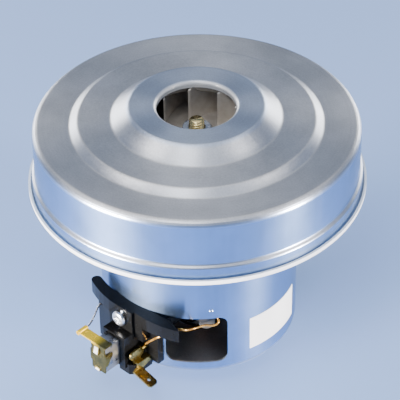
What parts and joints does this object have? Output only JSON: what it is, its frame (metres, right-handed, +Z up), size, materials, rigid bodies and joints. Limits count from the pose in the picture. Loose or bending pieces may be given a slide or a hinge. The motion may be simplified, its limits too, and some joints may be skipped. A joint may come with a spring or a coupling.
{
  "type": "vacuum motor unit",
  "caption": "Single-stage vacuum cleaner motor: drawn steel can, pressed fan cover over a centrifugal impeller, and two plastic brush brackets with brass terminals",
  "frame": {"origin": "centre of the rear bearing cup's flat bottom, on the shaft's axis", "axes": "+Z up along the shaft, from the bearing cup to the air inlet; -Y towards the brush bracket that the picture shows; +X to the right of it"},
  "size_m": [0.1356, 0.1356, 0.115],
  "materials": {
    "sheet_steel": "galvanised",
    "bearing_steel": "ground",
    "zinc_steel": "zinc plated",
    "impeller_aluminium": "rolled",
    "black_plastic": "moulded",
    "diffuser_plastic": "moulded",
    "frame_plastic": "moulded",
    "resin_plastic": "moulded resin",
    "brass": "stamped",
    "copper_wire": "enamelled copper",
    "tinned_wire": "tinned",
    "lamination": "laminated",
    "carbon": "pressed carbon",
    "label_film": "bare film",
    "bar_copper": "turned copper"
  },
  "bodies": {
    "housing": {"fan_cover": "sheet_steel", "motor_can": "sheet_steel", "rating_label": "label_film", "bearing_bridge": "zinc_steel", "bridge_screws": "zinc_steel", "front_bearing_shields": "zinc_steel", "rear_bearing_shields": "zinc_steel", "bracket_screws": "zinc_steel", "brush_tube_front": "zinc_steel", "brush_tube_rear": "zinc_steel", "diffuser": "diffuser_plastic", "front_bearing_outer": "bearing_steel", "rear_bearing_outer": "bearing_steel", "preload_washer": "bearing_steel", "brush_spring_front": "bearing_steel", "brush_spring_rear": "bearing_steel", "field_core": "lamination", "coil_frame_lower": "frame_plastic", "coil_frame_upper": "frame_plastic", "field_coil_left": "copper_wire", "field_coil_right": "copper_wire", "brush_shunt_front": "copper_wire", "brush_shunt_rear": "copper_wire", "field_lead_front": "copper_wire", "field_lead_rear": "copper_wire", "brush_bracket_front": "black_plastic", "brush_bracket_rear": "black_plastic", "brush_cap_front": "brass", "brush_cap_rear": "brass", "terminal_front": "brass", "terminal_rear": "brass", "brush_lead_front": "tinned_wire", "brush_lead_rear": "tinned_wire"},
    "rotor": {"shaft": "bearing_steel", "front_bearing_inner": "bearing_steel", "rear_bearing_inner": "bearing_steel", "front_bearing_balls": "bearing_steel", "rear_bearing_balls": "bearing_steel", "impeller_spacer": "zinc_steel", "impeller_back_plate": "impeller_aluminium", "impeller_blades": "impeller_aluminium", "impeller_front_plate": "impeller_aluminium", "impeller_hub": "zinc_steel", "impeller_nut": "zinc_steel", "armature_core": "lamination", "armature_winding": "copper_wire", "commutator_hub": "resin_plastic", "commutator_bars": "bar_copper"},
    "brush_front": {"carbon_brush_front": "carbon"},
    "brush_rear": {"carbon_brush_rear": "carbon"}
  },
  "joints": [
    {"name": "rotor_spin", "type": "hinge", "parent": "housing", "child": "rotor", "pos_m": [0, 0, 0.05], "axis": [0, 0, 1], "continuous": true},
    {"name": "brush_front_slide", "type": "slide", "parent": "housing", "child": "brush_front", "axis": [0, -1, 0], "range_m": [0, 0.008], "stiffness_N_per_m": 100, "springref_m": -0.02, "deforming": ["brush_spring_front", "brush_shunt_front"]},
    {"name": "brush_rear_slide", "type": "slide", "parent": "housing", "child": "brush_rear", "axis": [0, 1, 0], "range_m": [0, 0.008], "stiffness_N_per_m": 100, "springref_m": -0.02, "deforming": ["brush_spring_rear", "brush_shunt_rear"]}
  ]
}
